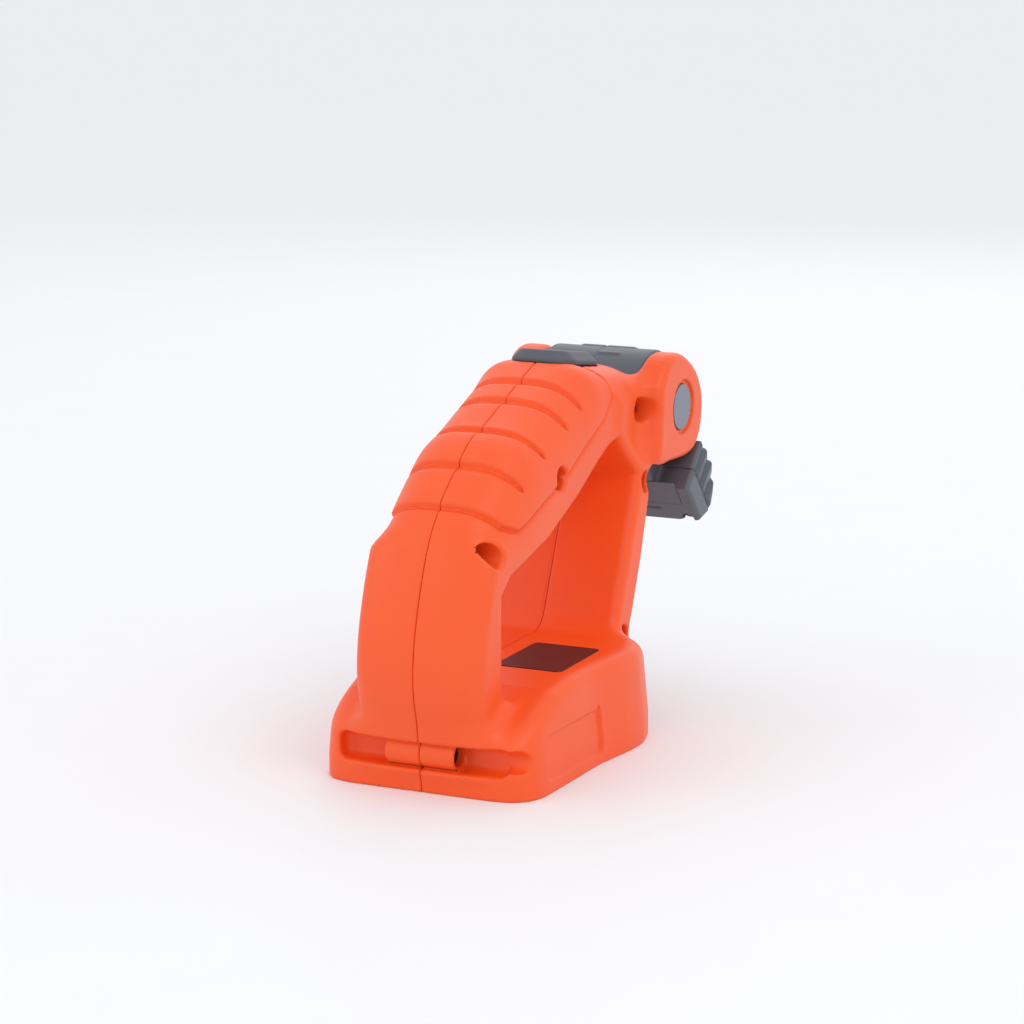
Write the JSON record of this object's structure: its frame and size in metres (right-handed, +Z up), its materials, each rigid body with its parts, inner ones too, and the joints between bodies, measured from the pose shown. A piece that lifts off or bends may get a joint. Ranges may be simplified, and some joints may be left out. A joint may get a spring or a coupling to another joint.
{
  "type": "cordless work light",
  "caption": "Cordless work light with a loop handle on a battery foot, a thumb switch and a lamp head that tilts between two ears.",
  "frame": {"origin": "under the middle of the bounding box, on the ground that the foot stands on", "axes": "the lamp faces -Y, +Z is up, and +X runs across the parting plane, towards the left shell"},
  "size_m": [0.0906, 0.1912, 0.138],
  "materials": {
    "orange_abs": "satin moulded",
    "black_steel": "black oxide",
    "label_maroon": "matt film",
    "black_nylon": "matt",
    "contact_brass": "bright",
    "board_green": "solder mask",
    "wire_red": "matt",
    "button_grey": "matt",
    "spring_steel": "bright",
    "head_grey": "satin",
    "clear_lens": "polished",
    "gasket_rubber": "matt",
    "reflector_silver": "metallised",
    "board_white": "matt",
    "led_yellow": "phosphor",
    "heat_sink_aluminium": "raw",
    "cap_grey": "satin"
  },
  "bodies": {
    "housing": {"right_housing": "orange_abs", "left_housing": "orange_abs", "housing_screws": "black_steel", "foot_nameplate": "label_maroon", "terminal_block": "black_nylon", "contact_blades": "contact_brass", "driver_board": "board_green", "battery_wires": "wire_red", "lamp_wires": "wire_red", "switch_body": "black_nylon"},
    "button": {"switch_button": "button_grey", "switch_plunger": "black_nylon", "button_spring": "spring_steel"},
    "lamp_head": {"head_back_shell": "head_grey", "head_bezel": "head_grey", "head_screws": "black_steel", "lens": "clear_lens", "lens_gasket": "gasket_rubber", "reflector": "reflector_silver", "led_board": "board_white", "led_emitters": "led_yellow", "heat_sink": "heat_sink_aluminium", "head_label": "head_grey", "led_wires": "wire_red", "pivot_cap_right": "cap_grey", "pivot_cap_left": "cap_grey"}
  },
  "joints": [
    {"name": "head_tilt", "type": "hinge", "parent": "housing", "child": "lamp_head", "pos_m": [0, -0.06705, 0.11], "axis": [1, 0, 0], "range_deg": [-90, 30]},
    {"name": "switch_press", "type": "slide", "parent": "housing", "child": "button", "axis": [0, 0, -1], "range_m": [0, 0.0015], "stiffness_N_per_m": 2000, "deforming": ["button_spring"]}
  ]
}
